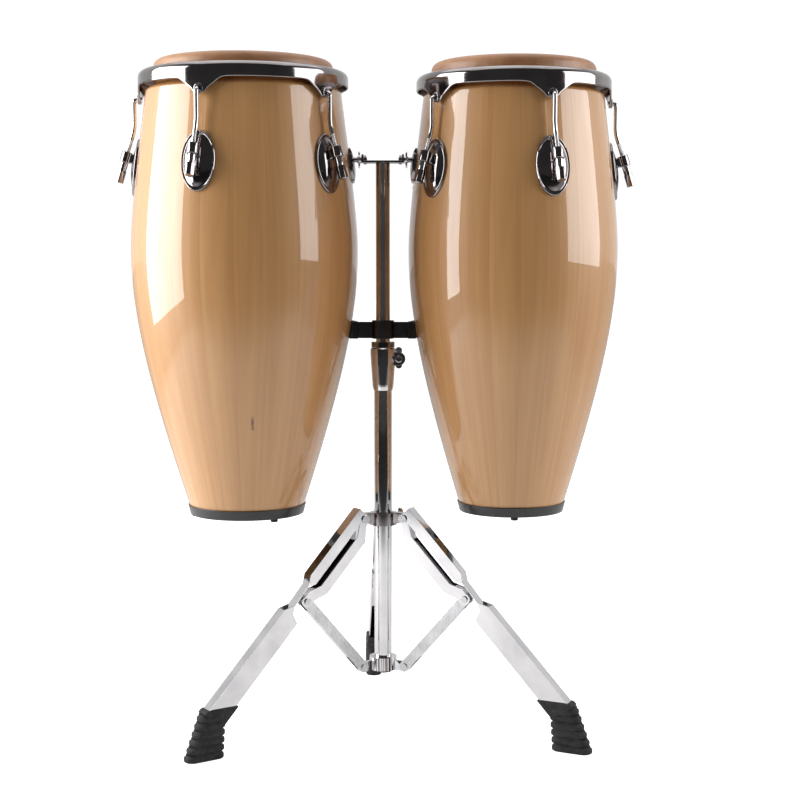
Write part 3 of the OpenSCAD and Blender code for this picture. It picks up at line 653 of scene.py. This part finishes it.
def hook(d, i):
    """One tension hook: out through the rim's ear, round the bend, down, and along the slanted thread."""
    a = d.azimuth(i)
    bend = 6 * MM
    x = d.crown_x

    def at(r, z):
        return outward(a) * r + Vector((0, 0, z))

    top = d.crown_h - HOOK_DROP
    path = [at(x + 5.5 * MM, top), at(x + 9 * MM, top)]
    path += [at(x + ROD_OUT - bend + bend * math.sin(b), top - bend + bend * math.cos(b))
             for b in (math.pi / 20 * k for k in range(11))]
    knee = at(x + ROD_OUT, d.crown_h - LEAN_DROP)
    down = outward(a) * math.sin(LEAN) + Vector((0, 0, -math.cos(LEAN)))
    path += [at(x + ROD_OUT, d.crown_h - LEAN_DROP + s * MM) for s in (30, 18, 9)]
    path += [knee + Vector((0, 0, 9 * MM)) * (1 - t) ** 2 + down * 9 * MM * t * t
             for t in (0.2, 0.4, 0.6, 0.8, 1.0)]
    plain = len(path)
    from_z = 16 * MM
    steps = int((ROD_END - from_z) / THREAD * STEPS_A_TURN)
    path += [knee + down * (from_z + (ROD_END - from_z) * k / steps) for k in range(steps + 1)]

    def radius(index, angle):
        if index == 0 or index == len(path) - 1:
            return ROD_R - 0.7 * MM
        if index <= plain + 4:
            return ROD_R
        phase = ((index - plain) / STEPS_A_TURN - angle / TURN) % 1.0
        return ROD_R - 0.42 * MM * abs(2 * phase - 1)

    return sweep(path, radius, 16)


def make_hooks(d):
    hooks = joined(*(hook(d, i) for i in range(LUGS)))
    return piece(d.name + "_tension_hooks", hooks, d.body, CHROME, [d.name + "_hooks"], d.origin,
                 sharp=60)


def make_nuts(d):
    """Tuning nuts: a turned sleeve with a chamfered hexagon, each on its own body."""
    start_z = LUG_TO + 0.4 * MM
    end_z = start_z + 13.4 * MM
    bore, wall = ROD_R + 0.06 * MM, 6 * MM
    sleeve = rounded([(bore, start_z), (wall, start_z), (wall, end_z), (bore, end_z)], 0.8 * MM)
    sleeve = lathe(sleeve, 40, closed=True)
    corner_r = 7.5 * MM
    count = 48
    for i in range(LUGS):
        hexagon = []
        for z, cut in ((start_z + 13 * MM, 0.86), (start_z + 13.2 * MM, 0.93), (start_z + 14.4 * MM, 1.0),
                       (NUT_TO - 1.3 * MM, 1.0), (NUT_TO - 0.2 * MM, 0.92), (NUT_TO, 0.82)):
            for k in range(count):
                b = TURN * k / count
                flat = (b + TURN / 12) % (TURN / 6) - TURN / 12
                side = corner_r * math.cos(TURN / 12) / math.cos((b % (TURN / 6)) - TURN / 12)
                r = min(side, corner_r * cut) - 0.15 * MM * (1 - abs(flat) / (TURN / 12)) ** 6
                hexagon.append((r * math.cos(b), r * math.sin(b), z))
        faces = grid_faces(6, count, False, True)
        faces += [tuple(range(count))[::-1], tuple(range(5 * count, 6 * count))]
        nut = "%s_nut_%d" % (d.name, i + 1)
        shape = moved(joined(sleeve, (hexagon, faces)), Matrix.Translation(d.origin) @ rod_frame(d, i))
        made = piece(nut + "_socket", shape, nut, DARK_CHROME, [nut], sharp=40)
        made.data.materials.append(CHROME)
        for number, face in enumerate(made.data.polygons):
            face.material_index = 1 if number < len(sleeve[1]) else 0


def make_base_ring(d):
    f = d.foot
    profile = rounded([(f - 15 * MM, 0.0), (f, 0.0), (f + 3.8 * MM, 15.5 * MM), (f + 2.1 * MM, 15.5 * MM),
                       (f - 1.5 * MM, 1.8 * MM), (f - 15 * MM, 1.8 * MM)], 0.8 * MM)
    return piece(d.name + "_bottom_ring", lathe(profile, 216, closed=True), d.body, BLACK_PAINT,
                 [d.name + "_base_ring"], d.origin, sharp=50)


def make_ring_feet(d):
    shapes = []
    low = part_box(d.name + "_ring_feet")[0].z - d.origin.z
    first = math.radians(36 if d.side < 0 else 0)
    profile = rounded([(0.0, low), (5.4 * MM, low), (6 * MM, 0.0), (0.0, 0.0)], 1.2 * MM, closed=False)
    for i in range(3):
        at = outward(first + TURN / 3 * i) * (d.foot - 8 * MM)
        shapes.append(moved(lathe(profile, 32), Matrix.Translation(at)))
    return piece(d.name + "_rubber_studs", joined(*shapes), d.body, RUBBER,
                 [d.name + "_ring_feet"], d.origin)


LEFT = Drum("left", -1)
RIGHT = Drum("right", 1)
KNOTS = {"left": (0.022, -LEFT.radius(0.155), 0.155), "right": (0.0, 0.5, 0.3)}
for drum in (LEFT, RIGHT):
    make_shell(drum, KNOTS[drum.name])
    make_skin(drum)
    make_rim(drum)
    make_side_plates(drum)
    make_hooks(drum)
    make_nuts(drum)
    make_base_ring(drum)
    make_ring_feet(drum)


# ---------- the stand ----------

POLE = middle("lower_tube")


def tube(name, cad, body):
    """A polished tube as long and as wide as its CAD node."""
    low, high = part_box(cad)
    r = (high.x - low.x) / 2
    inner = r - 1.6 * MM
    profile = rounded([(inner, low.z), (r, low.z), (r, high.z), (inner, high.z)], 0.5 * MM)
    shape = lathe(profile, 96, closed=True)
    return piece(name, shape, body, CHROME, [cad], (POLE.x, POLE.y, 0), sharp=50)


tube("outer_pole", "lower_tube", "base")
tube("inner_pole", "upper_tube", "mast")


def wing_outline(span, r, t_points=14):
    """Two round wings joined by a waisted bar."""
    outline = []
    for s in (1, -1):
        for k in range(t_points + 1):
            b = math.radians(-125 + 250 * k / t_points)
            outline.append((s * (span + r * math.cos(b)), s * r * math.sin(b)))
        outline.append((s * span * 0.35, s * r * 0.62))
        outline.append((0.0, s * r * 0.75))
    return outline


def wing_part(span, r, low, high, hub, hub_low, hub_high):
    """Wings from low to high on a slightly conical hub of (bore radius, outer radius)."""
    plate = prism(wing_outline(span, r), low, high, 0.8 * MM)
    bore, wall = hub
    body = [(bore, hub_low), (wall, hub_low), (wall * 0.86, hub_high), (bore, hub_high)]
    return joined(plate, lathe(rounded(body, 0.9 * MM), 40, closed=True))


def screw(r, low, high):
    """A threaded shank along +Z with chamfered ends."""
    steps = int((high - low) / THREAD * STEPS_A_TURN)
    path = [(0, 0, low + (high - low) * k / steps) for k in range(steps + 1)]

    def radius(index, angle):
        if index in (0, steps):
            return r - 0.5 * MM
        phase = (index / STEPS_A_TURN - angle / TURN) % 1.0
        return r - 0.3 * MM * abs(2 * phase - 1)

    return sweep(path, radius, 16)


def joint(name):
    return next(j for j in frame["joints"] if j["name"] == name)


STUD_Z = middle("left_wing_nut").z
for drum in (LEFT, RIGHT):
    low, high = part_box(drum.name + "_wing_nut")
    near = low.x if drum.side > 0 else high.x
    frame_x = frame_at((near, POLE.y, STUD_Z), (drum.side, 0, 0), (0, 1, 0))
    turned = frame_x @ Matrix.Rotation(math.radians(78), 4, "Z")
    nut = wing_part(9 * MM, 4.5 * MM, 2 * MM, 4.8 * MM, (4.06 * MM, 6.5 * MM), 0.0, 6.6 * MM)
    piece(drum.name + "_wing", moved(nut, turned), drum.name + "_wing_nut", CHROME,
          [drum.name + "_wing_nut"])

turn = joint("height_screw_turn")
to_back = frame_at(turn["pos_m"], (0, 1, 0), (0, 0, 1))
head = [(0.0, -13 * MM), (5.5 * MM, -13 * MM), (5.5 * MM, -9.4 * MM), (0.0, -9.4 * MM)]
wings = wing_part(12 * MM, 5.5 * MM, 20.8 * MM, 24.2 * MM, (0.5 * MM, 6.5 * MM), 9.4 * MM, 25.4 * MM)
head = lathe(rounded(head, 1.2 * MM, closed=False), 40)
height_screw = joined(screw(3 * MM, -12 * MM, 24 * MM), head, wings)
piece("height_screw", moved(height_screw, to_back), "height_wing_screw", CHROME,
      ["height_wing_screw"])

turn = joint("tripod_screw_turn")
outwards = frame_at(turn["pos_m"], turn["axis"], (0, 0, 1)) @ Matrix.Rotation(math.radians(-50), 4, "Z")
wings = wing_part(11 * MM, 5.5 * MM, 37 * MM, 40.4 * MM, (0.5 * MM, 6.0 * MM), 29.4 * MM, 41 * MM)
collar_screw = joined(screw(3.5 * MM, 14.4 * MM, 44 * MM), wings)
piece("collar_screw", moved(collar_screw, outwards), "tripod_wing_screw", CHROME,
      ["tripod_wing_screw"])


BOOT_TALL = 70 * MM
RIBS = 6
SLEEVE_Z = 76 * MM
LEG_TILT = math.radians(46.4)
LEG_REACH = 392 * MM


def boot_ribs(radial, side, far):
    """The boot's stack of ribs, which leans in along the leg. Its sole is at far from the pole."""
    around = 56
    rib = ((0.0, 2.0), (0.08, 0.5), (0.2, 0.0), (0.5, 0.0), (0.62, 0.5), (0.7, 2.2), (0.85, 3.2),
           (0.95, 3.2))
    rows = []
    for i in range(RIBS):
        share = i / (RIBS - 1)
        long, mid = (32 - 9 * share) * MM, far - 13 * MM * share
        for height, pull in rib:
            rows.append((mid, long - pull * MM, (14 - pull * 0.8) * MM, (i + height) * BOOT_TALL / RIBS))
    rows.append((far - 13 * MM, 20 * MM, 11 * MM, BOOT_TALL))
    points = []
    for mid, long, wide, z in rows:
        for k in range(around):
            b = TURN * k / around
            flat = math.copysign(long - wide, math.cos(b)) * min(1.0, abs(math.cos(b)) * 4)
            u = mid + wide * math.cos(b) + flat
            points.append(tuple(Vector((POLE.x, POLE.y, z)) + radial * u + side * wide * math.sin(b)))
    faces = grid_faces(len(rows), around, False, True)
    faces += [tuple(range(around))[::-1], tuple(range(len(points) - around, len(points)))]
    return points, faces


def boot_sleeve(radial, side, hinge):
    """The sleeve that grips the end of the leg's channel. Its mouth is level."""
    hinge = Vector(hinge)
    down = radial * math.cos(LEG_TILT) + Vector((0, 0, -math.sin(LEG_TILT)))
    up = radial * math.sin(LEG_TILT) + Vector((0, 0, math.cos(LEG_TILT)))

    def box(wide, low, high, corner):
        return rounded([(-wide, low), (wide, low), (wide, high), (-wide, high)], corner)

    ring = box(13 * MM, -17 * MM, 22 * MM, 3 * MM)
    hole = box(10.1 * MM, -14.1 * MM, 19.1 * MM, 0.6 * MM)
    middle_v = 2.5 * MM
    points = []
    for outline, depth, shrink in ((hole, 6, 1.0), (hole, 0, 1.0), (ring, 0, 0.95), (ring, 1.6, 1.0),
                                   (ring, 34, 1.0)):
        for u, v in outline:
            v = middle_v + (v - middle_v) * shrink
            s = (hinge.z - SLEEVE_Z + v * math.cos(LEG_TILT)) / math.sin(LEG_TILT) + depth * MM
            points.append(tuple(hinge + down * min(s, LEG_REACH) + up * v + side * u * shrink))
    count = len(ring)
    faces = grid_faces(5, count, False, True)
    faces += [tuple(range(count))[::-1], tuple(range(4 * count, 5 * count))]
    return points, faces


def rubber_boot(leg):
    """One ribbed boot with its sleeve."""
    sole = next(m for m in frame["record"]["mounts"] if m["name"] == leg + "_foot_sole")["pos_m"]
    radial = Vector((sole[0] - POLE.x, sole[1] - POLE.y, 0))
    far = radial.length
    radial.normalize()
    side = Vector((-radial.y, radial.x, 0))
    hinge = joint(leg + "_leg_fold")["pos_m"]
    shape = joined(boot_ribs(radial, side, far), boot_sleeve(radial, side, hinge))
    return piece(leg + "_rubber_boot", shape, leg + "_leg", RUBBER, [leg + "_foot"], sharp=60)


for leg_name in ("rear", "left", "right"):
    rubber_boot(leg_name)


# ---------- CAD nodes that stay: rolled edges and materials ----------

EDGE = {"bow_pads": 1.2, "height_clamp": 1.0, "bow_bar": 0.8, "lower_collar": 0.9, "upper_collar": 0.9,
        "memory_lock": 0.8, "t_bar": 0.5, "tube_plug": 0.8}
slot_of = {s["node"]: s["material_slot"] for s in frame["record"]["subparts"]}
for name, obj in frame["nodes"].items():
    finish = FINISH[slot_of[name]]
    obj.data.materials.clear()
    obj.data.materials.append(finish)
    if obj.hide_render:
        continue
    custom = obj.data.attributes.get("custom_normal")
    if custom:
        obj.data.attributes.remove(custom)
    obj.data.shade_smooth()
    weld = obj.modifiers.new("weld", "WELD")
    weld.merge_threshold = 0.002 * MM
    roll = obj.modifiers.new("rolled_edges", "BEVEL")
    roll.width = EDGE.get(name, 0.35) * MM
    roll.segments = 2
    roll.limit_method = "ANGLE"
    roll.angle_limit = math.radians(38)
    roll.use_clamp_overlap = True
    even = obj.modifiers.new("even_normals", "WEIGHTED_NORMAL")
    even.keep_sharp = True


# ---------- stage, lights and camera ----------

def stage_material():
    """Pale floor under and behind the drums. It is dark in front of them, to darken the chrome."""
    material, tree, shader, at = start("studio_floor", Roughness=0.85)
    shader.inputs["Emission Color"].default_value = (1, 1, 1, 1)
    depth = node(tree, "ShaderNodeSeparateXYZ", i0=at).outputs[1]
    paper = node(tree, "ShaderNodeMapRange", i0=depth, i1=-2.3, i2=-1.3, i3=0.0, i4=1.0).outputs[0]
    soft = noise(tree, at, 1.3, 2)
    white = ramp(tree, soft, [(0.3, (0.80, 0.80, 0.80)), (0.7, (0.83, 0.83, 0.83))])
    seen = node(tree, "ShaderNodeLightPath").outputs["Is Camera Ray"]
    glow = node(tree, "ShaderNodeMapRange", i0=seen, i3=0.06, i4=0.86).outputs[0]
    set_to(tree, shader, Base_Color=tint(tree, (0.03, 0.03, 0.03), white, paper),
           Emission_Strength=math_node(tree, "MULTIPLY", glow, paper))
    return material


floor_mesh = bpy.data.meshes.new("floor")
REACH = 30.0
floor_mesh.from_pydata([(-REACH, -REACH, 0), (REACH, -REACH, 0), (REACH, REACH, 0), (-REACH, REACH, 0)], [],
                       [(0, 1, 2, 3)])
floor = bpy.data.objects.new("floor", floor_mesh)
floor_mesh.materials.append(stage_material())
bpy.context.scene.collection.objects.link(floor)


def softbox(name, at, aim, width, height, radiance):
    """An area light whose surface has the given brightness."""
    data = bpy.data.lights.new(name, "AREA")
    data.shape = "RECTANGLE"
    data.size = width
    data.size_y = height
    data.energy = radiance * math.pi * width * height
    light = bpy.data.objects.new(name, data)
    light.location = at
    light.rotation_euler = (Vector(aim) - Vector(at)).to_track_quat("-Z", "Y").to_euler()
    bpy.context.scene.collection.objects.link(light)
    return light


softbox("left_panel", (-2.05, -0.40, 1.22), (0, -0.40, 1.22), 1.7, 1.9, 7.5)
softbox("right_panel", (2.15, -0.55, 1.38), (0, -0.55, 1.38), 1.7, 1.45, 4.6)
softbox("overhead", (0.0, 0.1, 3.0), (0, 0, 0), 3.2, 2.6, 1.1)

world = bpy.data.worlds.new("studio")
bpy.context.scene.world = world
world.use_nodes = True
sky = world.node_tree
background = sky.nodes["Background"]
generated = sky.nodes.new("ShaderNodeTexCoord").outputs["Generated"]
direction = node(sky, "ShaderNodeSeparateXYZ", i0=generated).outputs
away = direction[1]
backlight = node(sky, "ShaderNodeMapRange", i0=away, i1=-0.35, i2=0.55, i3=0.06, i4=0.78).outputs[0]
seen = node(sky, "ShaderNodeLightPath").outputs["Is Camera Ray"]
level = node(sky, "ShaderNodeMix", i0=seen, i2=backlight, i3=1.05).outputs[0]
sky.links.new(level, background.inputs["Strength"])
background.inputs["Color"].default_value = (1, 1, 1, 1)
bpy.context.scene.view_settings.view_transform = "Standard"

camera_data = bpy.data.cameras.new("camera")
camera_data.lens = 68.8
camera_data.sensor_width = 36.0
camera = bpy.data.objects.new("camera", camera_data)
camera.location = (POLE.x + 0.027, POLE.y - 2.425, 0.740)
camera.rotation_euler = (math.radians(90 - 5.02), 0, 0)
bpy.context.scene.collection.objects.link(camera)
bpy.context.scene.camera = camera
